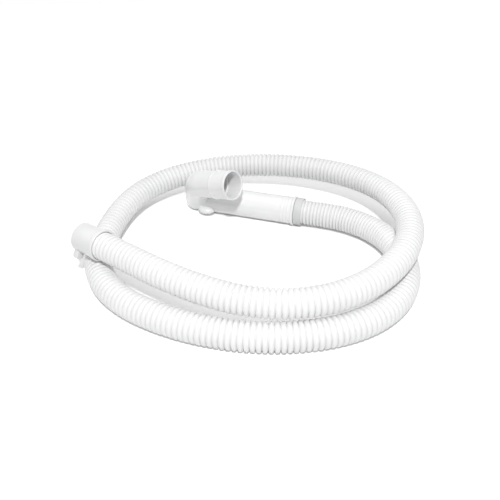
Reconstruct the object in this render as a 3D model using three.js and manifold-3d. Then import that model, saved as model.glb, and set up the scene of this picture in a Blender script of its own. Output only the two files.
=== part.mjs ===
// Washing machine drain hose: a corrugated hose lying in a loose coil of one and a half turns,
// with a straight cuff on its upper end and a hooked outlet on its lower end.
// Millimetres, +Z up, lying on the floor plane z = 0, seen by the photographer from -Y.
import * as THREE from 'three';
import { mergeVertices } from 'three/addons/utils/BufferGeometryUtils.js';
import Module from 'manifold-3d';

const wasm = await Module();
wasm.setup();

// Hose
const HOSE_RADIUS = 13.5;
const HOSE_BORE_RADIUS = 11;
const HOSE_SIDES = 12;
const HOSE_STEPS = 80;
const TOUCH_GAP = 0.3;

// The hose's centre line, chosen by hand from its upper end to its lower end.
// It is drawn before the part is centred over the origin.
const ROUTE = [
  [-140.8, -50.5, 42.5], [-108.1, -74.8, 42.3], [-77.3, -97.1, 41.8], [-45.0, -115.4, 40.4],
  [-9.9, -129.7, 39.3], [28.3, -135.5, 38.7], [66.9, -129.3, 38.6], [100.5, -112.2, 39.0],
  [126.6, -88.6, 39.8], [145.2, -61.4, 40.7], [156.6, -32.3, 41.5], [160.1, -2.5, 42.1],
  [156.1, 27.0, 41.7], [145.1, 55.6, 40.6], [127.0, 80.9, 39.0], [102.6, 101.8, 37.4],
  [73.2, 117.8, 36.0], [39.6, 128.8, 34.7], [2.9, 134.0, 33.3], [-35.0, 132.3, 31.6],
  [-71.2, 123.2, 29.4], [-102.3, 107.3, 26.6], [-125.4, 86.2, 23.4], [-139.7, 61.6, 20.1],
  [-147.8, 35.3, 17.2], [-152.4, 7.9, 15.0], [-153.4, -20.4, 13.9], [-148.1, -49.5, 13.5],
  [-134.1, -77.5, 13.5], [-111.1, -102.1, 13.5], [-80.6, -122.0, 13.5], [-45.7, -137.0, 13.5],
  [-7.6, -146.2, 13.5], [32.0, -148.4, 13.5], [70.9, -142.5, 13.5], [105.6, -127.3, 13.5],
  [130.8, -104.1, 13.5], [145.9, -76.3, 13.5], [151.3, -44.2, 13.7], [145.2, -12.1, 14.8],
  [129.1, 13.3, 15.7], [106.8, 31.1, 16.2], [83.2, 41.6, 16.3], [58.0, 49.8, 16.3],
];

// End cuff: it lies level across the hose's left bend.
const CUFF_NEAR = [-138.8, -52, 42.5];
const CUFF_AXIS = [-0.811, 0.585, 0];
const CUFF_LENGTH = 29.2;
const CUFF_RADIUS = 14.5;
const CUFF_SOCKET_RADIUS = 11.5;
const CUFF_WATERWAY_RADIUS = 10.5;
const CUFF_SOCKET_DEPTH = 22;
const LIP_RADIUS = 15.5;
const LIP_LENGTH = 4;
const RECESS_RADIUS = 13.95;
const RECESS_DEPTH = 3.2;
const LUG_WIDTH = 9;
const LUG_THICKNESS = 6;
const LUG_REACH = 22;
const LUG_TURN = 38;

// Outlet hook: lower leg, corner, rounded upper bend and upper leg with the mouth.
const LEG_START = [60, 49.1, 16.3];
const LEG_CORNER = [-59.6, 89.4, 15.3];
const UPPER_CORNER = [-56.8, 68.0, 43.4];
const MOUTH_CENTRE = [-16.8, 37.7, 57.2];
const HOOK_RADIUS = 15;
const HOOK_BORE_RADIUS = 12.5;
const UPPER_BEND_RADIUS = 18;
const BEND_STEPS = 14;
const HOOK_SIDES = 24;
const CORNER_SWELL = 0.15;
const COLLAR_LENGTH = 8.4;
const COLLAR_RADIUS = 15.25;
const COLLAR_BORE_RADIUS = 11;
const COLLAR_RECESS_DEPTH = 2.8;
const FLARE_RADIUS = 16.2;
const FLARE_LENGTH = 3.5;
const FLARE_EDGE = 0.8;
const FLARE_SLOPE = 1.2;
const RING_RADIUS = 15.4;
const RING_WIDTH = 1.4;
const RING_PITCH = 3.4;
const RING_COUNT = 3;
const RING_FIRST = 15;
const MOUTH_RADIUS = 16;
const MOUTH_BORE_RADIUS = 14;
const MOUTH_BORE_DEPTH = 20;
const MOUTH_FLARE_LENGTH = 5;
const MOUTH_SLOPE = 1.5;
const MOUTH_EDGE = 0.6;
const UPPER_SLEEVE_RADIUS = 15.4;
const BEAD_RADIUS = 15.8;
const BEAD_WIDTH = 3.6;
const BEAD_FROM_MOUTH = 24;

// The share of a ring's or bead's width that each sloping side takes.
const SLOPE_SHARE = 0.3;

// Pinched lump and small rib on the lower leg, under the mouth.
const LUMP_FROM_CORNER = 15;
const LUMP_HALF_LENGTH = 10;
const LUMP_HALF_DEPTH = 8;
const LUMP_HALF_HEIGHT = 5;
const LUMP_FORWARD = 12.5;
const LUMP_DROP = 7.5;
const RIB_FROM_CORNER = 27;
const RIB_LENGTH = 10;
const RIB_WIDTH = 2.6;
const RIB_REACH = 19;
const RIB_TURN = 52;
const RIB_ROOT_DEPTH = 1.5;

const UP = new THREE.Vector3(0, 0, 1);
const OVERLAP = 1;

// Moves the layout so that the finished part stands centred over the origin.
const LAYOUT_SHIFT = new THREE.Vector3(-1.1, 7.1, 0);

const HOSE_WHITE = new THREE.MeshStandardMaterial({ color: 0xf4f5f5, roughness: 0.5, metalness: 0 });
const CUFF_WHITE = new THREE.MeshStandardMaterial({ color: 0xe9eaea, roughness: 0.32, metalness: 0 });
const HOOK_WHITE = new THREE.MeshStandardMaterial({ color: 0xeef0f1, roughness: 0.25, metalness: 0 });
const COLLAR_GREY = new THREE.MeshStandardMaterial({ color: 0xd6d7d8, roughness: 0.5, metalness: 0 });

function point(coordinates) {
  return new THREE.Vector3(...coordinates).add(LAYOUT_SHIFT);
}

// A regular polygon standing in for a circle, as a list of 2-D points.
function polygon(radius, sides) {
  const corners = [];
  for (let i = 0; i < sides; i += 1) {
    const angle = (2 * Math.PI * i) / sides;
    corners.push(new THREE.Vector2(radius * Math.cos(angle), radius * Math.sin(angle)));
  }
  return corners;
}

// Turns a closed geometry into a solid that can be joined and cut.
function solidOf(geometry) {
  const bare = geometry.clone();
  bare.deleteAttribute('normal');
  bare.deleteAttribute('uv');
  const merged = mergeVertices(bare);
  const mesh = new wasm.Mesh({
    numProp: 3,
    vertProperties: new Float32Array(merged.attributes.position.array),
    triVerts: new Uint32Array(merged.index.array),
  });
  return new wasm.Manifold(mesh);
}

// Turns a solid back into a geometry.
function geometryOf(solid) {
  const mesh = solid.getMesh();
  const geometry = new THREE.BufferGeometry();
  geometry.setAttribute('position', new THREE.BufferAttribute(mesh.vertProperties, 3));
  geometry.setIndex(new THREE.BufferAttribute(mesh.triVerts, 1));
  geometry.computeVertexNormals();
  return geometry;
}

// Stands a geometry that was turned round Y on an axis, with its y = 0 at the start point.
function placeOnAxis(geometry, start, direction) {
  const turn = new THREE.Quaternion().setFromUnitVectors(new THREE.Vector3(0, 1, 0), direction);
  return geometry.applyQuaternion(turn).translate(start.x, start.y, start.z);
}

// A turned solid: the outline is a list of [radius, distance along the axis].
function turned(outline, start, direction, sides = HOOK_SIDES) {
  const corners = outline.map(([radius, along]) => new THREE.Vector2(radius, along));
  corners.push(corners[0].clone());
  return placeOnAxis(new THREE.LatheGeometry(corners, sides), start, direction);
}

// A swept solid of round section along a path.
function swept(path, radius, steps, bore = 0, sides = HOOK_SIDES) {
  const section = new THREE.Shape(polygon(radius, sides));
  if (bore > 0) {
    section.holes.push(new THREE.Path(polygon(bore, sides)));
  }
  return new THREE.ExtrudeGeometry(section, { steps, extrudePath: path, bevelEnabled: false });
}

function part(name, geometry, material) {
  const mesh = new THREE.Mesh(geometry, material);
  mesh.name = name;
  return mesh;
}

function corrugatedHose() {
  const route = new THREE.CatmullRomCurve3(ROUTE.map(point), false, 'catmullrom', 0.5);
  return swept(route, HOSE_RADIUS, HOSE_STEPS, HOSE_BORE_RADIUS, HOSE_SIDES);
}

// The small tab that stands off the cuff's underside at its open end.
function cuffLug(near, axis) {
  const half = LUG_WIDTH / 2;
  const root = CUFF_SOCKET_RADIUS + OVERLAP;
  const outline = new THREE.Shape();
  outline.moveTo(-half, root);
  outline.lineTo(-half, LUG_REACH - half);
  outline.absarc(0, LUG_REACH - half, half, Math.PI, 0, true);
  outline.lineTo(half, root);
  outline.closePath();
  const plate = new THREE.ExtrudeGeometry(outline, { depth: LUG_THICKNESS, bevelEnabled: false, curveSegments: 6 });
  const outwards = UP.clone().negate().applyAxisAngle(axis, THREE.MathUtils.degToRad(LUG_TURN));
  const across = new THREE.Vector3().crossVectors(outwards, axis);
  plate.applyMatrix4(new THREE.Matrix4().makeBasis(across, outwards, axis));
  const foot = near.clone().addScaledVector(axis, CUFF_LENGTH - LUG_THICKNESS);
  return plate.translate(foot.x, foot.y, foot.z);
}

function endCuff() {
  const near = point(CUFF_NEAR);
  const axis = new THREE.Vector3(...CUFF_AXIS).normalize();
  const edge = 0.8;
  const shoulder = CUFF_LENGTH - CUFF_SOCKET_DEPTH;
  const sleeve = turned([
    [RECESS_RADIUS, RECESS_DEPTH],
    [RECESS_RADIUS, 0],
    [LIP_RADIUS - edge, 0],
    [LIP_RADIUS, edge],
    [LIP_RADIUS, LIP_LENGTH - edge],
    [CUFF_RADIUS, LIP_LENGTH + edge],
    [CUFF_RADIUS, CUFF_LENGTH - edge],
    [CUFF_RADIUS - edge, CUFF_LENGTH],
    [CUFF_SOCKET_RADIUS, CUFF_LENGTH],
    [CUFF_SOCKET_RADIUS, shoulder],
    [CUFF_WATERWAY_RADIUS, shoulder],
    [CUFF_WATERWAY_RADIUS, RECESS_DEPTH],
  ], near, axis);
  return geometryOf(solidOf(sleeve).add(solidOf(cuffLug(near, axis))));
}

// The straight lower leg, from its flared end to the corner.
function lowerLeg(start, direction, length) {
  const first = COLLAR_LENGTH + TOUCH_GAP;
  const outline = [
    [0, first],
    [FLARE_RADIUS - FLARE_EDGE, first],
    [FLARE_RADIUS, first + FLARE_EDGE],
    [FLARE_RADIUS, first + FLARE_LENGTH - FLARE_SLOPE],
    [HOOK_RADIUS, first + FLARE_LENGTH],
  ];
  for (let i = 0; i < RING_COUNT; i += 1) {
    const along = RING_FIRST + i * RING_PITCH;
    outline.push([HOOK_RADIUS, along]);
    outline.push([RING_RADIUS, along + SLOPE_SHARE * RING_WIDTH]);
    outline.push([RING_RADIUS, along + (1 - SLOPE_SHARE) * RING_WIDTH]);
    outline.push([HOOK_RADIUS, along + RING_WIDTH]);
  }
  outline.push([HOOK_RADIUS, length]);
  outline.push([0, length]);
  return turned(outline, start, direction);
}

// The hook from the lower corner up the side and round the upper bend.
class SideAndBend extends THREE.Curve {
  constructor(low, corner, mouth, radius) {
    super();
    const down = low.clone().sub(corner).normalize();
    const out = mouth.clone().sub(corner).normalize();
    const half = down.angleTo(out) / 2;
    const cut = radius / Math.tan(half);
    this.low = low;
    this.bendStart = corner.clone().addScaledVector(down, cut);
    this.bendEnd = corner.clone().addScaledVector(out, cut);
    this.centre = corner.clone().addScaledVector(down.clone().add(out).normalize(), radius / Math.sin(half));
    this.turn = Math.PI - 2 * half;
    this.share = low.distanceTo(this.bendStart) / (low.distanceTo(this.bendStart) + radius * this.turn);
    this.out = out;
  }

  getPoint(t) {
    if (t <= this.share) {
      return this.low.clone().lerp(this.bendStart, t / this.share);
    }
    const from = this.bendStart.clone().sub(this.centre);
    const to = this.bendEnd.clone().sub(this.centre);
    const angle = (this.turn * (t - this.share)) / (1 - this.share);
    from.multiplyScalar(Math.sin(this.turn - angle) / Math.sin(this.turn));
    to.multiplyScalar(Math.sin(angle) / Math.sin(this.turn));
    return this.centre.clone().add(from).add(to);
  }
}

// The straight upper leg, from the bend to the mouth.
function upperLeg(start, direction, length) {
  const bead = length - BEAD_FROM_MOUTH;
  return turned([
    [0, -OVERLAP],
    [HOOK_RADIUS, -OVERLAP],
    [HOOK_RADIUS, bead],
    [BEAD_RADIUS, bead + SLOPE_SHARE * BEAD_WIDTH],
    [BEAD_RADIUS, bead + (1 - SLOPE_SHARE) * BEAD_WIDTH],
    [UPPER_SLEEVE_RADIUS, bead + BEAD_WIDTH],
    [UPPER_SLEEVE_RADIUS, length - MOUTH_FLARE_LENGTH],
    [MOUTH_RADIUS, length - MOUTH_FLARE_LENGTH + MOUTH_SLOPE],
    [MOUTH_RADIUS, length - MOUTH_EDGE],
    [MOUTH_RADIUS - MOUTH_EDGE, length],
    [0, length],
  ], start, direction);
}

// The bore behind the mouth: wide at the mouth, with a step to the narrower waterway.
function mouthBore(start, direction, length) {
  return turned([
    [0, -OVERLAP],
    [HOOK_BORE_RADIUS, -OVERLAP],
    [HOOK_BORE_RADIUS, length - MOUTH_BORE_DEPTH],
    [MOUTH_BORE_RADIUS, length - MOUTH_BORE_DEPTH],
    [MOUTH_BORE_RADIUS, length + OVERLAP],
    [0, length + OVERLAP],
  ], start, direction);
}

function ball(centre, radius) {
  return new THREE.SphereGeometry(radius, HOOK_SIDES, HOOK_SIDES / 2).translate(centre.x, centre.y, centre.z);
}

// The lump pinched out of the lower leg's front, near the corner.
function lump(corner, legDirection, forward) {
  const shape = new THREE.SphereGeometry(1, 20, 12);
  shape.scale(LUMP_HALF_LENGTH, LUMP_HALF_DEPTH, LUMP_HALF_HEIGHT);
  shape.applyMatrix4(new THREE.Matrix4().makeBasis(legDirection, UP.clone().cross(legDirection), UP));
  const centre = corner.clone().addScaledVector(legDirection, -LUMP_FROM_CORNER);
  centre.addScaledVector(forward, LUMP_FORWARD).addScaledVector(UP, -LUMP_DROP);
  return shape.translate(centre.x, centre.y, centre.z);
}

// The small three-cornered rib that stands on the lower leg under the mouth.
function rib(corner, legDirection, forward) {
  const root = HOOK_RADIUS - RIB_ROOT_DEPTH;
  const outline = new THREE.Shape([
    new THREE.Vector2(-RIB_LENGTH / 2, root),
    new THREE.Vector2(RIB_LENGTH / 2, root),
    new THREE.Vector2(0, RIB_REACH),
  ]);
  const plate = new THREE.ExtrudeGeometry(outline, { depth: RIB_WIDTH, bevelEnabled: false });
  plate.translate(0, 0, -RIB_WIDTH / 2);
  const outwards = UP.clone().lerp(forward, RIB_TURN / 90).normalize();
  outwards.addScaledVector(legDirection, -outwards.dot(legDirection)).normalize();
  const sideways = new THREE.Vector3().crossVectors(legDirection, outwards);
  plate.applyMatrix4(new THREE.Matrix4().makeBasis(legDirection, outwards, sideways));
  const foot = corner.clone().addScaledVector(legDirection, -RIB_FROM_CORNER);
  return plate.translate(foot.x, foot.y, foot.z);
}

function outletHook() {
  const start = point(LEG_START);
  const corner = point(LEG_CORNER);
  const mouth = point(MOUTH_CENTRE);
  const legDirection = corner.clone().sub(start).normalize();
  const legLength = start.distanceTo(corner);
  const forward = new THREE.Vector3().crossVectors(UP, legDirection).normalize();
  const side = new SideAndBend(corner, point(UPPER_CORNER), mouth, UPPER_BEND_RADIUS);
  const upperLength = side.bendEnd.distanceTo(mouth);
  const boreOpening = start.clone().addScaledVector(legDirection, COLLAR_LENGTH - OVERLAP);
  const boreLine = new THREE.LineCurve3(boreOpening, corner);

  const outside = solidOf(lowerLeg(start, legDirection, legLength))
    .add(solidOf(ball(corner, HOOK_RADIUS + CORNER_SWELL)))
    .add(solidOf(swept(side, HOOK_RADIUS, BEND_STEPS)))
    .add(solidOf(upperLeg(side.bendEnd, side.out, upperLength)))
    .add(solidOf(lump(corner, legDirection, forward)))
    .add(solidOf(rib(corner, legDirection, forward)));
  const waterway = solidOf(swept(boreLine, HOOK_BORE_RADIUS, 1))
    .add(solidOf(ball(corner, HOOK_BORE_RADIUS + CORNER_SWELL)))
    .add(solidOf(swept(side, HOOK_BORE_RADIUS, BEND_STEPS)))
    .add(solidOf(mouthBore(side.bendEnd, side.out, upperLength)));
  return geometryOf(outside.subtract(waterway));
}

function hoseCollar() {
  const start = point(LEG_START);
  const direction = point(LEG_CORNER).sub(start).normalize();
  const edge = 0.6;
  return turned([
    [RECESS_RADIUS, COLLAR_RECESS_DEPTH],
    [RECESS_RADIUS, 0],
    [COLLAR_RADIUS - edge, 0],
    [COLLAR_RADIUS, edge],
    [COLLAR_RADIUS, COLLAR_LENGTH - edge],
    [COLLAR_RADIUS - edge, COLLAR_LENGTH],
    [COLLAR_BORE_RADIUS, COLLAR_LENGTH],
    [COLLAR_BORE_RADIUS, COLLAR_RECESS_DEPTH],
  ], start, direction);
}

const drainHose = new THREE.Group();
drainHose.add(part('corrugated_hose', corrugatedHose(), HOSE_WHITE));
drainHose.add(part('end_cuff', endCuff(), CUFF_WHITE));
drainHose.add(part('outlet_hook', outletHook(), HOOK_WHITE));
drainHose.add(part('hose_collar', hoseCollar(), COLLAR_GREY));

export default drainHose;
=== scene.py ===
import logging
import math
from dataclasses import dataclass, field
from enum import Enum

import bmesh
import bpy
from mathutils import Matrix, Vector


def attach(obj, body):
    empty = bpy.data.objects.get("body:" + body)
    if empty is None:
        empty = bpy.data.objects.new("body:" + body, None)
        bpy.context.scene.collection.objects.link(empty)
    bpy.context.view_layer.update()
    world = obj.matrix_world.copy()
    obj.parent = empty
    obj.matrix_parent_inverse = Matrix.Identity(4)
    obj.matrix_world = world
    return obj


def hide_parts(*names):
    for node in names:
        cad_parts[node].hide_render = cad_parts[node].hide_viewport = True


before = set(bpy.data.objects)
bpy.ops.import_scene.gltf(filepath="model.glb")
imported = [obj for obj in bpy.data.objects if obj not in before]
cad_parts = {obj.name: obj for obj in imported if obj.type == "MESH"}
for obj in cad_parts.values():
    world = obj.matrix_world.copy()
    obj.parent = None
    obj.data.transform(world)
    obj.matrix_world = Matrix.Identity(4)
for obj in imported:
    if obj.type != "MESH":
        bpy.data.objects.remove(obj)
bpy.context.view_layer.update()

log = logging.getLogger("drain_hose")

Point = tuple[float, float, float]
Colour = tuple[float, float, float, float]
Corner = tuple[float, float, float]
Stop = tuple[float, Colour]

SHIFT = Vector((-0.0011, 0.0071, 0.0))
UP = Vector((0.0, 0.0, 1.0))
BODY = "root"
SPIN_STEPS = 96
SHARP_ANGLE = math.radians(38)
WHITE: Colour = (1.0, 1.0, 1.0, 1.0)
PLASTIC_IOR = 1.49


class Slot(Enum):
    """The record's material slots."""

    HOSE = "hose_plastic"
    CUFF = "cuff_plastic"
    HOOK = "hook_plastic"
    COLLAR = "collar_plastic"


class Cut(Enum):
    """How one solid is worked into another."""

    JOIN = "UNION"
    TAKE_AWAY = "DIFFERENCE"


def placed(point: Point) -> Vector:
    """Moves a point of the layout to where the centred part has it.

    Args:
        point: A point of the layout, in metres.

    Returns:
        The same point in the part's frame.
    """
    return Vector(point) + SHIFT


def axis_turn(direction: Vector) -> Matrix:
    """Finds the turn that stands local Z on a direction.

    Args:
        direction: The axis that local Z is to follow.

    Returns:
        The turn as a 4 by 4 matrix.
    """
    return UP.rotation_difference(direction.normalized()).to_matrix().to_4x4()


def rounded(corners: list[Corner], steps: int = 4) -> list[Vector]:
    """Rounds the corners of a turned outline.

    Args:
        corners: Radius, distance along the axis and rounding of each corner.
        steps: How many short edges each rounding gets.

    Returns:
        The outline's points in the XZ plane.
    """
    points: list[Vector] = []
    for i, (radius, along, rounding) in enumerate(corners):
        here = Vector((radius, 0.0, along))
        if rounding <= 0.0 or i in (0, len(corners) - 1):
            points.append(here)
            continue
        before = Vector((corners[i - 1][0], 0.0, corners[i - 1][1])) - here
        after = Vector((corners[i + 1][0], 0.0, corners[i + 1][1])) - here
        start = here + before.normalized() * rounding
        end = here + after.normalized() * rounding
        for k in range(steps + 1):
            t = k / steps
            points.append(start * (1 - t) ** 2 + here * (2 * t * (1 - t)) + end * t * t)
    return points


class Workbench:
    """Makes solids with bmesh operators and works them into one another."""

    @staticmethod
    def turned(
        corners: list[Corner], start: Vector, direction: Vector, closed: bool = False,
    ) -> bmesh.types.BMesh:
        """Turns an outline round an axis.

        Args:
            corners: Radius, distance along the axis and rounding of each corner.
            start: Where distance 0 lies.
            direction: The axis.
            closed: True for an outline that closes on itself, False for one that ends on the axis.

        Returns:
            The turned solid.
        """
        sheet = bmesh.new()
        points = [sheet.verts.new(p) for p in rounded(corners)]
        edges = [sheet.edges.new(pair) for pair in zip(points, points[1:])]
        if closed:
            edges.append(sheet.edges.new((points[-1], points[0])))
        bmesh.ops.spin(
            sheet, geom=points + edges, cent=(0, 0, 0), axis=UP, angle=math.tau,
            steps=SPIN_STEPS, use_merge=True, use_duplicate=False,
        )
        bmesh.ops.remove_doubles(sheet, verts=sheet.verts, dist=1e-6)
        bmesh.ops.recalc_face_normals(sheet, faces=sheet.faces)
        bmesh.ops.transform(sheet, matrix=Matrix.Translation(start) @ axis_turn(direction), verts=sheet.verts)
        return sheet

    @staticmethod
    def swept(path: list[Vector], radius: float, sides: int = SPIN_STEPS) -> bmesh.types.BMesh:
        """Draws a round section along a path and closes both ends.

        Args:
            path: The points of the centre line.
            radius: The section's radius.
            sides: The section's number of sides.

        Returns:
            The swept solid.
        """
        sheet = bmesh.new()
        heading = (path[1] - path[0]).normalized()
        stand = Matrix.Translation(path[0]) @ axis_turn(heading)
        ring = bmesh.ops.create_circle(sheet, segments=sides, radius=radius, matrix=stand)["verts"]
        edges = list(sheet.edges)
        for i in range(1, len(path)):
            ahead = path[min(i + 1, len(path) - 1)] - path[i]
            behind = path[i] - path[i - 1]
            turned_heading = (ahead.normalized() + behind.normalized()).normalized()
            grown = bmesh.ops.extrude_edge_only(sheet, edges=edges)["geom"]
            ring = [item for item in grown if isinstance(item, bmesh.types.BMVert)]
            edges = [item for item in grown if isinstance(item, bmesh.types.BMEdge)]
            turn = heading.rotation_difference(turned_heading).to_matrix().to_4x4()
            move = Matrix.Translation(path[i]) @ turn @ Matrix.Translation(-path[i - 1])
            bmesh.ops.transform(sheet, matrix=move, verts=ring)
            heading = turned_heading
        bmesh.ops.holes_fill(sheet, edges=[e for e in sheet.edges if e.is_boundary], sides=0)
        bmesh.ops.recalc_face_normals(sheet, faces=sheet.faces)
        return sheet

    @staticmethod
    def ball(centre: Vector, radius: float) -> bmesh.types.BMesh:
        """Makes a ball.

        Args:
            centre: The ball's centre.
            radius: The ball's radius.

        Returns:
            The ball.
        """
        sheet = bmesh.new()
        bmesh.ops.create_uvsphere(
            sheet, u_segments=SPIN_STEPS, v_segments=SPIN_STEPS // 2, radius=radius,
            matrix=Matrix.Translation(centre),
        )
        return sheet

    @staticmethod
    def named(name: str, sheet: bmesh.types.BMesh) -> bpy.types.Object:
        """Turns a bmesh into a named object at the origin.

        Args:
            name: The object's name.
            sheet: The solid, which is used up.

        Returns:
            The object, linked into the scene.
        """
        mesh = bpy.data.meshes.new(name)
        sheet.to_mesh(mesh)
        sheet.free()
        piece = bpy.data.objects.new(name, mesh)
        bpy.context.scene.collection.objects.link(piece)
        return piece

    @staticmethod
    def work_in(piece: bpy.types.Object, tool: bpy.types.Object, cut: Cut) -> None:
        """Joins a solid to a piece, or takes it away from the piece.

        Args:
            piece: The piece that changes.
            tool: The other solid, which is used up.
            cut: Whether the solid is joined or taken away.
        """
        change = piece.modifiers.new("work", "BOOLEAN")
        change.operation = cut.value
        change.solver = "EXACT"
        change.object = tool
        seen = piece.evaluated_get(bpy.context.evaluated_depsgraph_get())
        finished = bpy.data.meshes.new_from_object(seen)
        piece.modifiers.clear()
        rough = piece.data
        piece.data = finished
        finished.name = piece.name
        bpy.data.meshes.remove(rough)
        bpy.data.meshes.remove(tool.data)

    @staticmethod
    def joined(name: str, sheets: list[bmesh.types.BMesh]) -> bpy.types.Object:
        """Joins overlapping solids into one object.

        Args:
            name: The object's name.
            sheets: The solids, which are used up.

        Returns:
            The joined object.
        """
        piece = Workbench.named(name, sheets[0])
        for sheet in sheets[1:]:
            Workbench.work_in(piece, Workbench.named("tool", sheet), Cut.JOIN)
        return piece

    @staticmethod
    def smooth(piece: bpy.types.Object, angle: float = SHARP_ANGLE) -> None:
        """Shades a piece smooth, and keeps the edges sharper than an angle.

        Args:
            piece: The piece to shade.
            angle: The angle from which an edge stays sharp.
        """
        piece.data.shade_smooth()
        piece.data.set_sharp_from_angle(angle=angle)


class Recipe:
    """Lays out the nodes of one finish."""

    def __init__(self, name: str) -> None:
        """Starts a material with a plain surface shader.

        Args:
            name: The material's name.
        """
        self.material = bpy.data.materials.new(name)
        self.material.use_nodes = True
        self.tree = self.material.node_tree
        self.shader = self.tree.nodes["Principled BSDF"]

    def node(self, kind: str, **settings: object) -> bpy.types.Node:
        """Adds a node.

        Args:
            kind: The node's type name.
            settings: Values for the node's own properties.

        Returns:
            The new node.
        """
        made = self.tree.nodes.new(kind)
        for key, value in settings.items():
            setattr(made, key, value)
        return made

    def link(self, source: bpy.types.NodeSocket, target: bpy.types.NodeSocket) -> None:
        """Links one socket to another."""
        self.tree.links.new(source, target)

    def noise(self, scale: float, detail: float, stretch: Point = (1.0, 1.0, 1.0)) -> bpy.types.NodeSocket:
        """Adds a noise pattern on the piece's own coordinates.

        Args:
            scale: Cells per metre.
            detail: Layers of finer noise.
            stretch: Scale along each axis.

        Returns:
            The pattern's value socket.
        """
        place = self.node("ShaderNodeTexCoord")
        mapping = self.node("ShaderNodeMapping")
        mapping.inputs["Scale"].default_value = stretch
        pattern = self.node("ShaderNodeTexNoise")
        pattern.inputs["Scale"].default_value = scale
        pattern.inputs["Detail"].default_value = detail
        self.link(place.outputs["Object"], mapping.inputs["Vector"])
        self.link(mapping.outputs["Vector"], pattern.inputs["Vector"])
        return pattern.outputs["Fac"]

    def ramp(self, value: bpy.types.NodeSocket, low: Stop, high: Stop) -> bpy.types.NodeSocket:
        """Turns a value into a colour between two stops.

        Args:
            value: The socket that drives the ramp.
            low: Position and colour of the first stop.
            high: Position and colour of the second stop.

        Returns:
            The ramp's colour socket.
        """
        ramp = self.node("ShaderNodeValToRGB")
        for stop, (position, colour) in zip(ramp.color_ramp.elements, (low, high)):
            stop.position = position
            stop.color = colour
        self.link(value, ramp.inputs["Fac"])
        return ramp.outputs["Color"]

    def spread(self, value: bpy.types.NodeSocket, low: float, high: float) -> bpy.types.NodeSocket:
        """Spreads a 0 to 1 value over another range.

        Args:
            value: The socket to spread.
            low: What 0 becomes.
            high: What 1 becomes.

        Returns:
            The spread value's socket.
        """
        spread = self.node("ShaderNodeMapRange")
        spread.inputs["To Min"].default_value = low
        spread.inputs["To Max"].default_value = high
        self.link(value, spread.inputs["Value"])
        return spread.outputs["Result"]

    def bump(self, height: bpy.types.NodeSocket, strength: float, distance: float) -> None:
        """Adds relief to the surface, over any relief that it has already.

        Args:
            height: The height pattern.
            strength: How strongly it shows.
            distance: The height of the relief, in metres.
        """
        bump = self.node("ShaderNodeBump")
        bump.inputs["Strength"].default_value = strength
        bump.inputs["Distance"].default_value = distance
        self.link(height, bump.inputs["Height"])
        for link in list(self.shader.inputs["Normal"].links):
            self.link(link.from_socket, bump.inputs["Normal"])
        self.link(bump.outputs["Normal"], self.shader.inputs["Normal"])


@dataclass(frozen=True)
class MouldedPlastic:
    """Smooth moulded plastic with faint cloudy flow marks."""

    name: str
    light: Colour
    dark: Colour
    roughness_low: float
    roughness_high: float
    coat: float
    flow_scale: float
    flow_stretch: Point
    flow_from: float = 0.32
    flow_to: float = 0.68
    flow_strength: float = 0.25
    flow_height: float = 0.00012
    polish_scale: float = 160.0
    grain_scale: float = 2200.0
    grain_strength: float = 0.12
    grain_height: float = 0.00004
    coat_roughness: float = 0.12

    def make(self) -> bpy.types.Material:
        """Builds the material.

        Returns:
            The finished material.
        """
        recipe = Recipe(self.name)
        flow = recipe.noise(self.flow_scale, 3.0, self.flow_stretch)
        cloud = recipe.ramp(flow, (self.flow_from, self.dark), (self.flow_to, self.light))
        recipe.link(cloud, recipe.shader.inputs["Base Color"])
        polish = recipe.noise(self.polish_scale, 2.0)
        recipe.link(
            recipe.spread(polish, self.roughness_low, self.roughness_high), recipe.shader.inputs["Roughness"],
        )
        recipe.shader.inputs["Coat Weight"].default_value = self.coat
        recipe.shader.inputs["Coat Roughness"].default_value = self.coat_roughness
        recipe.shader.inputs["IOR"].default_value = PLASTIC_IOR
        recipe.bump(recipe.noise(self.grain_scale, 2.0), self.grain_strength, self.grain_height)
        recipe.bump(flow, self.flow_strength, self.flow_height)
        return recipe.material


@dataclass(frozen=True)
class CorrugatedPlastic:
    """Blown plastic of the hose: white on the crests, with painted shade that greys the valleys."""

    name: str = "hose_white"
    crest: Colour = (0.92, 0.92, 0.92, 1.0)
    # Painted shade: the grey of the valley floors, where the folds shade each other.
    valley_painted_shade: Colour = (0.72, 0.72, 0.725, 1.0)
    cloud_dark: Colour = (0.96, 0.96, 0.965, 1.0)
    painted_shade_share: float = 0.4
    cloud_scale: float = 22.0
    roughness_low: float = 0.38
    roughness_high: float = 0.52
    polish_scale: float = 240.0
    grain_scale: float = 1500.0
    grain_strength: float = 0.15
    grain_height: float = 0.00005

    def make(self) -> bpy.types.Material:
        """Builds the material.

        Returns:
            The finished material.
        """
        recipe = Recipe(self.name)
        height = recipe.node("ShaderNodeAttribute", attribute_name="crest")
        # Painted shade: the colour greys from the crest white towards the valley floor, standing in for the
        # folds' shade.
        fold = recipe.ramp(height.outputs["Fac"], (0.0, self.valley_painted_shade), (self.painted_shade_share, self.crest))
        cloud = recipe.ramp(recipe.noise(self.cloud_scale, 3.0), (0.3, self.cloud_dark), (0.7, WHITE))
        blend = recipe.node("ShaderNodeMix", data_type="RGBA", blend_type="MULTIPLY")
        blend.inputs["Factor"].default_value = 1.0
        recipe.link(fold, blend.inputs["A"])
        recipe.link(cloud, blend.inputs["B"])
        recipe.link(blend.outputs["Result"], recipe.shader.inputs["Base Color"])
        polish = recipe.noise(self.polish_scale, 2.0)
        recipe.link(
            recipe.spread(polish, self.roughness_low, self.roughness_high), recipe.shader.inputs["Roughness"],
        )
        recipe.shader.inputs["IOR"].default_value = PLASTIC_IOR
        recipe.bump(recipe.noise(self.grain_scale, 2.0), self.grain_strength, self.grain_height)
        return recipe.material


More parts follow.
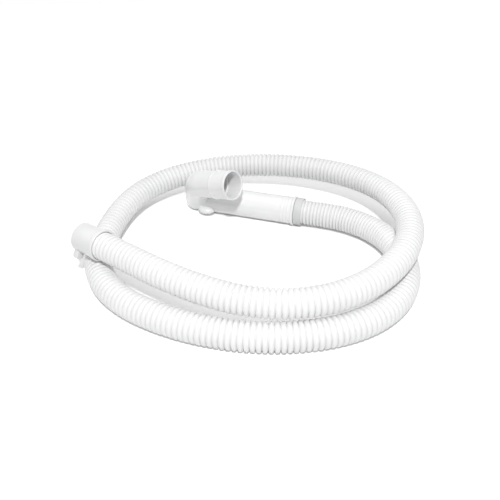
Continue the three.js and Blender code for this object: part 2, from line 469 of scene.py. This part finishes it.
@dataclass
class Finishes:
    """Every finish of the part, made once."""

    hose: bpy.types.Material = field(default_factory=lambda: CorrugatedPlastic().make())
    cuff: bpy.types.Material = field(default_factory=lambda: MouldedPlastic(
        name="cuff_white", light=(0.88, 0.88, 0.88, 1.0), dark=(0.80, 0.805, 0.81, 1.0),
        roughness_low=0.26, roughness_high=0.36, coat=0.25, flow_scale=34.0, flow_stretch=(1.0, 1.0, 2.2),
    ).make())
    hook: bpy.types.Material = field(default_factory=lambda: MouldedPlastic(
        name="hook_white", light=(0.93, 0.93, 0.935, 1.0), dark=(0.88, 0.885, 0.89, 1.0),
        roughness_low=0.16, roughness_high=0.26, coat=0.4, flow_scale=28.0, flow_stretch=(1.0, 1.0, 1.0),
    ).make())
    # The collar's grey is painted shade: it stands in for the shadow of the hook's flared end.
    collar: bpy.types.Material = field(default_factory=lambda: MouldedPlastic(
        name="collar_painted_shade", light=(0.73, 0.735, 0.74, 1.0), dark=(0.66, 0.665, 0.67, 1.0),
        roughness_low=0.4, roughness_high=0.52, coat=0.0, flow_scale=60.0, flow_stretch=(1.0, 1.0, 1.0),
    ).make())


def dress(piece: bpy.types.Object, material: bpy.types.Material) -> None:
    """Gives a piece its finish and tells the frame where it belongs.

    Args:
        piece: The finished piece.
        material: Its material.
    """
    piece.data.materials.clear()
    piece.data.materials.append(material)
    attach(piece, BODY)
    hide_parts(piece.name.replace("_shape", ""))


@dataclass
class CameraStand:
    """The photographer's camera."""

    eye: Point = (0.0, -0.4988, 0.3450)
    pitch_down: float = math.radians(34.7)
    roll: float = math.radians(-0.8)
    focal_pixels: float = 570.0
    image_pixels: float = 500.0
    sensor: float = 36.0

    def build(self) -> bpy.types.Object:
        """Stands the camera up.

        Returns:
            The camera.
        """
        data = bpy.data.cameras.new("photo_camera")
        data.sensor_width = self.sensor
        data.lens = self.focal_pixels / self.image_pixels * self.sensor
        data.dof.use_dof = False
        camera = bpy.data.objects.new("photo_camera", data)
        bpy.context.scene.collection.objects.link(camera)
        tilt = Matrix.Rotation(math.pi / 2 - self.pitch_down, 4, "X")
        camera.matrix_world = Matrix.Translation(placed(self.eye)) @ tilt @ Matrix.Rotation(self.roll, 4, "Z")
        bpy.context.scene.camera = camera
        return camera


@dataclass(frozen=True)
class Lamp:
    """A square lamp that faces the object."""

    name: str
    place: Point
    size: float
    power: float

    def hang(self) -> None:
        """Hangs the lamp and turns it towards the origin."""
        data = bpy.data.lights.new(self.name, "AREA")
        data.shape = "SQUARE"
        data.size = self.size
        data.energy = self.power
        lamp = bpy.data.objects.new(self.name, data)
        bpy.context.scene.collection.objects.link(lamp)
        spot = Vector(self.place)
        aim = (-spot).to_track_quat("-Z", "Y").to_matrix().to_4x4()
        lamp.matrix_world = Matrix.Translation(spot) @ aim


@dataclass
class Studio:
    """A pale floor, a white surround and two lamps."""

    floor_half: float = 1.25
    floor_true: Colour = (0.8, 0.8, 0.8, 1.0)
    floor_seen_near: float = 1.4
    floor_seen_far: float = 2.5
    floor_near: float = 0.2
    world_strength: float = 0.355
    lamps: tuple[Lamp, ...] = (
        Lamp(name="near_camera", place=(0.0, -0.627, 0.806), size=0.05, power=5.5),
        Lamp(name="overhead", place=(0.0, 0.25, 1.60), size=1.4, power=7.0),
    )

    def build(self) -> None:
        """Lays the floor, and hangs the lamps."""
        self._floor()
        self._world()
        for lamp in self.lamps:
            lamp.hang()

    def _seen_directly(self, tree: bpy.types.NodeTree) -> bpy.types.NodeSocket:
        """Finds the rays that show the background: straight, mirrored and through glass.

        Args:
            tree: The node tree that asks.

        Returns:
            A socket that is 1 for such rays and 0 for all others.
        """
        path = tree.nodes.new("ShaderNodeLightPath")
        both = tree.nodes.new("ShaderNodeMath")
        both.operation = "MAXIMUM"
        tree.links.new(path.outputs["Is Camera Ray"], both.inputs[0])
        tree.links.new(path.outputs["Is Glossy Ray"], both.inputs[1])
        total = tree.nodes.new("ShaderNodeMath")
        total.operation = "MAXIMUM"
        tree.links.new(both.outputs["Value"], total.inputs[0])
        tree.links.new(path.outputs["Is Transmission Ray"], total.inputs[1])
        return total.outputs["Value"]

    def _seen_tone(self, tree: bpy.types.NodeTree) -> bpy.types.NodeSocket:
        """Makes the floor that is seen paler further out, where the lamps reach it less.

        Args:
            tree: The floor's node tree.

        Returns:
            A socket with the tone.
        """
        place = tree.nodes.new("ShaderNodeTexCoord")
        away = tree.nodes.new("ShaderNodeVectorMath")
        away.operation = "LENGTH"
        tree.links.new(place.outputs["Object"], away.inputs[0])
        tone = tree.nodes.new("ShaderNodeMapRange")
        tone.inputs["From Min"].default_value = self.floor_near
        tone.inputs["From Max"].default_value = self.floor_half
        tone.inputs["To Min"].default_value = self.floor_seen_near
        tone.inputs["To Max"].default_value = self.floor_seen_far
        tree.links.new(away.outputs["Value"], tone.inputs["Value"])
        return tone.outputs["Result"]

    def _floor(self) -> None:
        """Lays a pale floor that shows white in the picture and keeps the shadow."""
        sheet = bmesh.new()
        bmesh.ops.create_grid(sheet, x_segments=1, y_segments=1, size=self.floor_half)
        floor = Workbench.named("floor", sheet)
        material = bpy.data.materials.new("floor_pale")
        material.use_nodes = True
        tree = material.node_tree
        tree.nodes.remove(tree.nodes["Principled BSDF"])
        matt = tree.nodes.new("ShaderNodeBsdfDiffuse")
        tone = tree.nodes.new("ShaderNodeMix")
        tone.data_type = "RGBA"
        tone.clamp_result = False
        tone.inputs["A"].default_value = self.floor_true
        tree.links.new(self._seen_tone(tree), tone.inputs["B"])
        tree.links.new(self._seen_directly(tree), tone.inputs["Factor"])
        tree.links.new(tone.outputs["Result"], matt.inputs["Color"])
        tree.links.new(matt.outputs["BSDF"], tree.nodes["Material Output"].inputs["Surface"])
        floor.data.materials.append(material)

    def _world(self) -> None:
        """Surrounds the object with even light, seen as white."""
        world = bpy.data.worlds.new("surround")
        bpy.context.scene.world = world
        world.use_nodes = True
        tree = world.node_tree
        light = tree.nodes["Background"]
        light.inputs["Color"].default_value = WHITE
        strength = tree.nodes.new("ShaderNodeMapRange")
        strength.inputs["To Min"].default_value = self.world_strength
        strength.inputs["To Max"].default_value = 1.0
        tree.links.new(self._seen_directly(tree), strength.inputs["Value"])
        tree.links.new(strength.outputs["Result"], light.inputs["Strength"])


@dataclass
class CorrugatedHose:
    """The long corrugated tube."""

    crest_radius: float = 0.0135
    valley_radius: float = 0.0110
    inner_radius: float = 0.0102
    pitch: float = 0.0050
    end_pitch: float = 0.0038
    end_length: float = 0.108
    sides_step: int = 12
    samples: int = 48
    fold: tuple[tuple[float, float], ...] = (
        (0.0, 0.0), (0.07, 0.2), (0.14, 0.7), (0.25, 0.95),
        (0.5, 1.0), (0.75, 0.95), (0.86, 0.7), (0.93, 0.2),
    )
    route: tuple[Point, ...] = (
        (-0.1408, -0.0505, 0.0425), (-0.1081, -0.0748, 0.0423), (-0.0773, -0.0971, 0.0418),
        (-0.0450, -0.1154, 0.0404), (-0.0099, -0.1297, 0.0393), (0.0283, -0.1355, 0.0387),
        (0.0669, -0.1293, 0.0386), (0.1005, -0.1122, 0.0390), (0.1266, -0.0886, 0.0398),
        (0.1452, -0.0614, 0.0407), (0.1566, -0.0323, 0.0415), (0.1601, -0.0025, 0.0421),
        (0.1561, 0.0270, 0.0417), (0.1451, 0.0556, 0.0406), (0.1270, 0.0809, 0.0390),
        (0.1026, 0.1018, 0.0374), (0.0732, 0.1178, 0.0360), (0.0396, 0.1288, 0.0347),
        (0.0029, 0.1340, 0.0333), (-0.0350, 0.1323, 0.0316), (-0.0712, 0.1232, 0.0294),
        (-0.1023, 0.1073, 0.0266), (-0.1254, 0.0862, 0.0234), (-0.1397, 0.0616, 0.0201),
        (-0.1478, 0.0353, 0.0172), (-0.1524, 0.0079, 0.0150), (-0.1534, -0.0204, 0.0139),
        (-0.1481, -0.0495, 0.0135), (-0.1341, -0.0775, 0.0135), (-0.1111, -0.1021, 0.0135),
        (-0.0806, -0.1220, 0.0135), (-0.0457, -0.1370, 0.0135), (-0.0076, -0.1462, 0.0135),
        (0.0320, -0.1484, 0.0135), (0.0709, -0.1425, 0.0135), (0.1056, -0.1273, 0.0135),
        (0.1308, -0.1041, 0.0135), (0.1459, -0.0763, 0.0135), (0.1513, -0.0442, 0.0137),
        (0.1452, -0.0121, 0.0148), (0.1291, 0.0133, 0.0157), (0.1068, 0.0311, 0.0162),
        (0.0832, 0.0416, 0.0163), (0.0580, 0.0498, 0.0163),
    )

    def _curve_point(self, points: list[Vector], index: int, t: float) -> Vector:
        """Finds a point on the smooth curve through the route.

        Args:
            points: The route's points.
            index: The stretch, counted from its first point.
            t: How far along the stretch, from 0 to 1.

        Returns:
            The point.
        """
        last = len(points) - 1
        b, c = points[index], points[index + 1]
        a = points[index - 1] if index > 0 else b * 2 - c
        d = points[index + 2] if index + 2 <= last else c * 2 - b
        slope_b, slope_c = (c - a) / 2, (d - b) / 2
        bend = b * 2 - c * 2 + slope_b + slope_c
        lean = b * -3 + c * 3 - slope_b * 2 - slope_c
        return bend * t ** 3 + lean * t ** 2 + slope_b * t + b

    def _centre_line(self) -> tuple[list[Vector], list[float]]:
        """Samples the smooth curve through the route.

        Returns:
            The points, and how far along the hose each one lies.
        """
        points = [placed(p) for p in self.route]
        line = [
            self._curve_point(points, i, k / self.samples)
            for i in range(len(points) - 1) for k in range(self.samples)
        ]
        line.append(points[-1])
        along = [0.0]
        for here, there in zip(line, line[1:]):
            along.append(along[-1] + (there - here).length)
        return line, along

    def _stations(self, wanted: list[float]) -> list[Vector]:
        """Finds the points at given distances along the hose.

        Args:
            wanted: Rising distances from the upper end.

        Returns:
            One point for each distance.
        """
        line, along = self._centre_line()
        found: list[Vector] = []
        i = 0
        for distance in wanted:
            while i < len(line) - 2 and along[i + 1] < distance:
                i += 1
            share = (distance - along[i]) / (along[i + 1] - along[i])
            found.append(line[i].lerp(line[i + 1], share))
        return found

    def _tube(self, stations: list[Vector], radii: list[float]) -> bpy.types.Mesh:
        """Draws a tube of changing radius through the stations.

        Args:
            stations: Points of the centre line.
            radii: The radius at each station.

        Returns:
            The tube's mesh, open at both ends, ring after ring.
        """
        curve = bpy.data.curves.new("hose_line", "CURVE")
        curve.dimensions = "3D"
        curve.twist_mode = "MINIMUM"
        curve.bevel_depth = self.crest_radius
        curve.bevel_resolution = self.sides_step
        curve.use_fill_caps = False
        line = curve.splines.new("POLY")
        line.points.add(len(stations) - 1)
        for knot, place, radius in zip(line.points, stations, radii):
            knot.co = (*place, 1.0)
            knot.radius = radius / self.crest_radius
        holder = bpy.data.objects.new("hose_line", curve)
        mesh = bpy.data.meshes.new_from_object(holder)
        bpy.data.objects.remove(holder)
        bpy.data.curves.remove(curve)
        return mesh

    def _valleys(self, length: float) -> list[float]:
        """Places the valleys between the ridges, closer together near the collar.

        Args:
            length: The hose's length.

        Returns:
            How far along the hose each valley lies, the two ends included.
        """
        plain = length - self.end_length
        places: list[float] = []
        for start, stretch, pitch in ((0.0, plain, self.pitch), (plain, self.end_length, self.end_pitch)):
            ridges = round(stretch / pitch)
            places += [start + stretch * i / ridges for i in range(ridges)]
        return places + [length]

    def build(self, material: bpy.types.Material) -> bpy.types.Object:
        """Builds the hose with its ridges and its smooth bore.

        Args:
            material: The hose's finish.

        Returns:
            The finished piece.
        """
        length = self._centre_line()[1][-1]
        valleys = self._valleys(length)
        wanted = [a + (b - a) * share for a, b in zip(valleys, valleys[1:]) for share, _ in self.fold]
        wanted.append(length)
        heights = [height for _ in valleys[1:] for _, height in self.fold] + [0.0]
        radii = [self.valley_radius + (self.crest_radius - self.valley_radius) * height for height in heights]
        outside = self._tube(self._stations(wanted), radii)
        inside = self._tube(self._stations(valleys), [self.inner_radius] * len(valleys))
        sheet = bmesh.new()
        height_layer = sheet.verts.layers.float.new("crest")
        sheet.from_mesh(outside)
        sheet.verts.ensure_lookup_table()
        sides = len(sheet.verts) // len(wanted)
        for vertex in sheet.verts:
            vertex[height_layer] = heights[vertex.index // sides]
        outer_points, outer_faces = len(sheet.verts), len(sheet.faces)
        sheet.from_mesh(inside)
        sheet.verts.ensure_lookup_table()
        sheet.faces.ensure_lookup_table()
        for vertex in sheet.verts[outer_points:]:
            vertex[height_layer] = 0.5
        bmesh.ops.reverse_faces(sheet, faces=sheet.faces[outer_faces:])
        rims = [edge for edge in sheet.edges if edge.is_boundary]
        for centre in (self._stations([0.0])[0], self._stations([length])[0]):
            near = [e for e in rims if (e.verts[0].co - centre).length < 2 * self.crest_radius]
            bmesh.ops.bridge_loops(sheet, edges=near)
        bmesh.ops.recalc_face_normals(sheet, faces=sheet.faces)
        piece = Workbench.named("corrugated_hose_shape", sheet)
        piece.data.shade_smooth()
        bpy.data.meshes.remove(outside)
        bpy.data.meshes.remove(inside)
        dress(piece, material)
        return piece


@dataclass
class EndCuff:
    """The straight sleeve at the machine's end, with its lip, socket and lug."""

    near: Point = (-0.1388, -0.0520, 0.0425)
    axis: Point = (-0.811, 0.585, 0.0)
    length: float = 0.0292
    radius: float = 0.0145
    socket_radius: float = 0.0115
    socket_depth: float = 0.022
    waterway_radius: float = 0.0105
    lip_radius: float = 0.0155
    lip_length: float = 0.004
    recess_radius: float = 0.01395
    recess_depth: float = 0.0032
    edge: float = 0.0009
    lug_width: float = 0.009
    lug_thickness: float = 0.006
    lug_reach: float = 0.022
    lug_turn: float = math.radians(38)
    lug_edge: float = 0.0009

    def _sleeve(self, near: Vector, axis: Vector) -> bmesh.types.BMesh:
        """Turns the sleeve.

        Args:
            near: The middle of the lip's face, on the hose's side.
            axis: The direction of the open end.

        Returns:
            The sleeve.
        """
        shoulder = self.length - self.socket_depth
        return Workbench.turned([
            (self.recess_radius, self.recess_depth, 0.0),
            (self.recess_radius, 0.0, 0.0004),
            (self.lip_radius, 0.0, self.edge),
            (self.lip_radius, self.lip_length, self.edge),
            (self.radius, self.lip_length + 0.0008, 0.0005),
            (self.radius, self.length, self.edge),
            (self.socket_radius, self.length, 0.0006),
            (self.socket_radius, shoulder, 0.0003),
            (self.waterway_radius, shoulder, 0.0003),
            (self.waterway_radius, self.recess_depth, 0.0),
        ], near, axis, closed=True)

    def _lug(self, near: Vector, axis: Vector) -> bmesh.types.BMesh:
        """Makes the small tab under the open end.

        Args:
            near: The middle of the lip's face, on the hose's side.
            axis: The direction of the open end.

        Returns:
            The tab, with its root inside the sleeve's wall.
        """
        sheet = bmesh.new()
        half = self.lug_width / 2
        root = self.socket_radius + 0.001
        round_centre = self.lug_reach - half
        outline = [(-half, root), (half, root)]
        turns = [a * math.pi / 8 for a in range(9)]
        outline += [(half * math.cos(turn), round_centre + half * math.sin(turn)) for turn in turns]
        face = sheet.faces.new([sheet.verts.new((x, y, 0.0)) for x, y in outline])
        grown = bmesh.ops.extrude_face_region(sheet, geom=[face])["geom"]
        top = [item for item in grown if isinstance(item, bmesh.types.BMVert)]
        bmesh.ops.translate(sheet, verts=top, vec=(0.0, 0.0, self.lug_thickness))
        bmesh.ops.recalc_face_normals(sheet, faces=sheet.faces)
        rims = [e for e in sheet.edges if abs(e.verts[0].co.z - e.verts[1].co.z) < 1e-7]
        bmesh.ops.bevel(
            sheet, geom=rims, offset=self.lug_edge, offset_type="OFFSET", segments=3, profile=0.5,
            affect="EDGES", material=-1,
        )
        outwards = Matrix.Rotation(self.lug_turn, 3, axis) @ -UP
        basis = Matrix((outwards.cross(axis), outwards, axis)).transposed().to_4x4()
        foot = near + axis * (self.length - self.lug_thickness)
        bmesh.ops.transform(sheet, matrix=Matrix.Translation(foot) @ basis, verts=sheet.verts)
        return sheet

    def build(self, material: bpy.types.Material) -> bpy.types.Object:
        """Builds the cuff.

        Args:
            material: The cuff's finish.

        Returns:
            The finished piece.
        """
        near = placed(self.near)
        axis = Vector(self.axis).normalized()
        piece = Workbench.joined("end_cuff_shape", [self._sleeve(near, axis), self._lug(near, axis)])
        Workbench.smooth(piece)
        dress(piece, material)
        return piece


@dataclass
class OutletHook:
    """The hooked outlet: lower leg, corner, side, rounded bend, upper leg and mouth."""

    leg_start: Point = (0.0600, 0.0491, 0.0163)
    leg_corner: Point = (-0.0596, 0.0894, 0.0153)
    upper_corner: Point = (-0.0568, 0.0680, 0.0434)
    mouth: Point = (-0.0168, 0.0377, 0.0572)
    radius: float = 0.015
    bore_radius: float = 0.0125
    bend_radius: float = 0.018
    bend_steps: int = 14
    corner_swell: float = 0.00015
    collar_length: float = 0.0084
    touch_gap: float = 0.0003
    rim_edge: float = 0.0007
    soft_edge: float = 0.0006
    slope_edge: float = 0.0008
    bore_edge: float = 0.0003
    flare_radius: float = 0.0162
    flare_length: float = 0.0035
    flare_slope: float = 0.0008
    ring_radius: float = 0.0154
    ring_width: float = 0.0014
    ring_pitch: float = 0.0034
    ring_count: int = 3
    ring_first: float = 0.015
    ring_edge: float = 0.0002
    mouth_radius: float = 0.016
    mouth_bore_radius: float = 0.014
    mouth_bore_depth: float = 0.020
    mouth_flare_length: float = 0.005
    mouth_flare_slope: float = 0.0018
    sleeve_radius: float = 0.0154
    bead_radius: float = 0.0158
    bead_width: float = 0.0036
    bead_from_mouth: float = 0.024
    slope_share: float = 0.3
    lump_from_corner: float = 0.015
    lump_half: Point = (0.0100, 0.008, 0.0050)
    lump_forward: float = 0.0125
    lump_drop: float = 0.0075
    rib_from_corner: float = 0.027
    rib_length: float = 0.010
    rib_width: float = 0.0026
    rib_reach: float = 0.019
    rib_root: float = 0.0015
    rib_edge: float = 0.0004
    rib_turn: float = 52.0
    overlap: float = 0.001

    def _bend_path(self) -> list[Vector]:
        """Lays the centre line from the lower corner round the bend.

        Returns:
            The points, up to the foot of the upper leg.
        """
        low, corner, mouth = placed(self.leg_corner), placed(self.upper_corner), placed(self.mouth)
        down, out = (low - corner).normalized(), (mouth - corner).normalized()
        half = down.angle(out) / 2
        cut = self.bend_radius / math.tan(half)
        start, end = corner + down * cut, corner + out * cut
        centre = corner + (down + out).normalized() * (self.bend_radius / math.sin(half))
        turn = math.pi - 2 * half
        path = [low.lerp(start, k / 4) for k in range(4)]
        for k in range(self.bend_steps + 1):
            share = k / self.bend_steps
            first, second = math.sin(turn * (1 - share)), math.sin(turn * share)
            path.append(centre + ((start - centre) * first + (end - centre) * second) / math.sin(turn))
        return path

    def _lower_leg(self, start: Vector, direction: Vector, length: float) -> bmesh.types.BMesh:
        """Turns the lower leg with its flared end and its shallow rings.

        Args:
            start: The collar's face on the hose's side.
            direction: The leg's direction.
            length: The distance from the start to the corner.

        Returns:
            The leg.
        """
        first = self.collar_length + self.touch_gap
        corners: list[Corner] = [
            (0.0, first, 0.0),
            (self.flare_radius, first, self.rim_edge),
            (self.flare_radius, first + self.flare_length - self.flare_slope, self.rim_edge),
            (self.radius, first + self.flare_length, self.soft_edge),
        ]
        for i in range(self.ring_count):
            along = self.ring_first + i * self.ring_pitch
            corners += [
                (self.radius, along, self.ring_edge),
                (self.ring_radius, along + self.slope_share * self.ring_width, self.ring_edge),
                (self.ring_radius, along + (1 - self.slope_share) * self.ring_width, self.ring_edge),
                (self.radius, along + self.ring_width, self.ring_edge),
            ]
        corners += [(self.radius, length, 0.0), (0.0, length, 0.0)]
        return Workbench.turned(corners, start, direction)

    def _upper_leg(self, start: Vector, direction: Vector, length: float) -> bmesh.types.BMesh:
        """Turns the upper leg with its bead and its mouth.

        Args:
            start: The end of the bend.
            direction: The leg's direction.
            length: The distance from the start to the mouth.

        Returns:
            The leg.
        """
        bead = length - self.bead_from_mouth
        flare = length - self.mouth_flare_length
        return Workbench.turned([
            (0.0, -self.overlap, 0.0),
            (self.radius, -self.overlap, 0.0),
            (self.radius, bead, self.soft_edge),
            (self.bead_radius, bead + self.slope_share * self.bead_width, self.soft_edge),
            (self.bead_radius, bead + (1 - self.slope_share) * self.bead_width, self.soft_edge),
            (self.sleeve_radius, bead + self.bead_width, self.soft_edge),
            (self.sleeve_radius, flare, self.slope_edge),
            (self.mouth_radius, flare + self.mouth_flare_slope, self.slope_edge),
            (self.mouth_radius, length, self.rim_edge),
            (0.0, length, 0.0),
        ], start, direction)

    def _mouth_bore(self, start: Vector, direction: Vector, length: float) -> bmesh.types.BMesh:
        """Turns the bore behind the mouth, with its step.

        Args:
            start: The end of the bend.
            direction: The leg's direction.
            length: The distance from the start to the mouth.

        Returns:
            The bore as a solid to take away.
        """
        step = length - self.mouth_bore_depth
        return Workbench.turned([
            (0.0, -self.overlap, 0.0),
            (self.bore_radius, -self.overlap, 0.0),
            (self.bore_radius, step, self.bore_edge),
            (self.mouth_bore_radius, step, self.bore_edge),
            (self.mouth_bore_radius, length - self.soft_edge, 0.0),
            (self.mouth_bore_radius + self.soft_edge, length + 0.00002, 0.0),
            (self.mouth_bore_radius + self.soft_edge, length + self.overlap, 0.0),
            (0.0, length + self.overlap, 0.0),
        ], start, direction)

    def _lump(self, corner: Vector, leg: Vector, forward: Vector) -> bmesh.types.BMesh:
        """Makes the lump pinched out of the lower leg's front.

        Args:
            corner: The lower corner.
            leg: The lower leg's direction.
            forward: The level direction towards the front.

        Returns:
            The lump.
        """
        sheet = Workbench.ball(Vector((0.0, 0.0, 0.0)), 1.0)
        basis = Matrix((leg, UP.cross(leg), UP)).transposed().to_4x4()
        centre = corner - leg * self.lump_from_corner + forward * self.lump_forward - UP * self.lump_drop
        place = Matrix.Translation(centre) @ basis @ Matrix.Diagonal((*self.lump_half, 1.0))
        bmesh.ops.transform(sheet, matrix=place, verts=sheet.verts)
        return sheet

    def _rib(self, corner: Vector, leg: Vector, forward: Vector) -> bmesh.types.BMesh:
        """Makes the small three-cornered rib under the mouth.

        Args:
            corner: The lower corner.
            leg: The lower leg's direction.
            forward: The level direction towards the front.

        Returns:
            The rib, with its root inside the leg's wall.
        """
        sheet = bmesh.new()
        root = self.radius - self.rib_root
        half, width = self.rib_length / 2, self.rib_width / 2
        outline = [(-half, root), (half, root), (0.0, self.rib_reach)]
        face = sheet.faces.new([sheet.verts.new((x, y, -width)) for x, y in outline])
        grown = bmesh.ops.extrude_face_region(sheet, geom=[face])["geom"]
        top = [item for item in grown if isinstance(item, bmesh.types.BMVert)]
        bmesh.ops.translate(sheet, verts=top, vec=(0.0, 0.0, self.rib_width))
        bmesh.ops.recalc_face_normals(sheet, faces=sheet.faces)
        bmesh.ops.bevel(
            sheet, geom=list(sheet.edges), offset=self.rib_edge, offset_type="OFFSET", segments=2,
            profile=0.5, affect="EDGES", material=-1,
        )
        outwards = UP.lerp(forward, self.rib_turn / 90).normalized()
        outwards = (outwards - leg * outwards.dot(leg)).normalized()
        basis = Matrix((leg, outwards, leg.cross(outwards))).transposed().to_4x4()
        foot = corner - leg * self.rib_from_corner
        bmesh.ops.transform(sheet, matrix=Matrix.Translation(foot) @ basis, verts=sheet.verts)
        return sheet

    def build(self, material: bpy.types.Material) -> bpy.types.Object:
        """Builds the hook: the outside joined first, then the bore taken away.

        Args:
            material: The hook's finish.

        Returns:
            The finished piece.
        """
        start, corner, mouth = placed(self.leg_start), placed(self.leg_corner), placed(self.mouth)
        leg = (corner - start).normalized()
        forward = UP.cross(leg).normalized()
        bend = self._bend_path()
        out = (mouth - bend[-1]).normalized()
        upper_length = (mouth - bend[-1]).length
        bore_start = start + leg * (self.collar_length - self.overlap)
        piece = Workbench.joined("outlet_hook_shape", [
            self._lower_leg(start, leg, (corner - start).length),
            Workbench.ball(corner, self.radius + self.corner_swell),
            Workbench.swept(bend, self.radius),
            self._upper_leg(bend[-1], out, upper_length),
            self._lump(corner, leg, forward),
            self._rib(corner, leg, forward),
        ])
        bore = Workbench.joined("waterway", [
            Workbench.swept([bore_start, corner], self.bore_radius),
            Workbench.ball(corner, self.bore_radius + self.corner_swell),
            Workbench.swept(bend, self.bore_radius),
            self._mouth_bore(bend[-1], out, upper_length),
        ])
        Workbench.work_in(piece, bore, Cut.TAKE_AWAY)
        Workbench.smooth(piece)
        dress(piece, material)
        return piece


@dataclass
class HoseCollar:
    """The ring between the hook and the hose, coloured grey as painted shade from the hook's flared end."""

    leg_start: Point = (0.0600, 0.0491, 0.0163)
    leg_corner: Point = (-0.0596, 0.0894, 0.0153)
    length: float = 0.0084
    radius: float = 0.01525
    bore_radius: float = 0.011
    recess_radius: float = 0.01395
    recess_depth: float = 0.0028
    edge: float = 0.0006
    bore_edge: float = 0.0003

    def build(self, material: bpy.types.Material) -> bpy.types.Object:
        """Builds the collar.

        Args:
            material: The collar's finish.

        Returns:
            The finished piece.
        """
        start = placed(self.leg_start)
        direction = (placed(self.leg_corner) - start).normalized()
        piece = Workbench.named("hose_collar_shape", Workbench.turned([
            (self.recess_radius, self.recess_depth, 0.0),
            (self.recess_radius, 0.0, self.bore_edge),
            (self.radius, 0.0, self.edge),
            (self.radius, self.length, self.edge),
            (self.bore_radius, self.length, self.bore_edge),
            (self.bore_radius, self.recess_depth, 0.0),
        ], start, direction, closed=True))
        Workbench.smooth(piece)
        dress(piece, material)
        return piece


def report(piece: bpy.types.Object) -> None:
    """Logs a finished piece and its size.

    Args:
        piece: The finished piece.
    """
    triangles = sum(len(face.vertices) - 2 for face in piece.data.polygons)
    sides = [round(1000 * side, 1) for side in piece.dimensions]
    log.info("%s: %d triangles, %s mm", piece.name, triangles, sides)


def main() -> None:
    """Builds the camera, the studio and the four pieces, in order."""
    logging.basicConfig(level=logging.INFO, format="%(message)s")
    bpy.context.scene.view_settings.view_transform = "Standard"
    CameraStand().build()
    Studio().build()
    finishes = Finishes()
    hose = CorrugatedHose()
    hose_piece = hose.build(finishes.hose)
    cuff_piece = EndCuff().build(finishes.cuff)
    hook_piece = OutletHook().build(finishes.hook)
    collar_piece = HoseCollar().build(finishes.collar)
    for piece in (hose_piece, cuff_piece, hook_piece, collar_piece):
        report(piece)


if __name__ == "__main__":
    main()
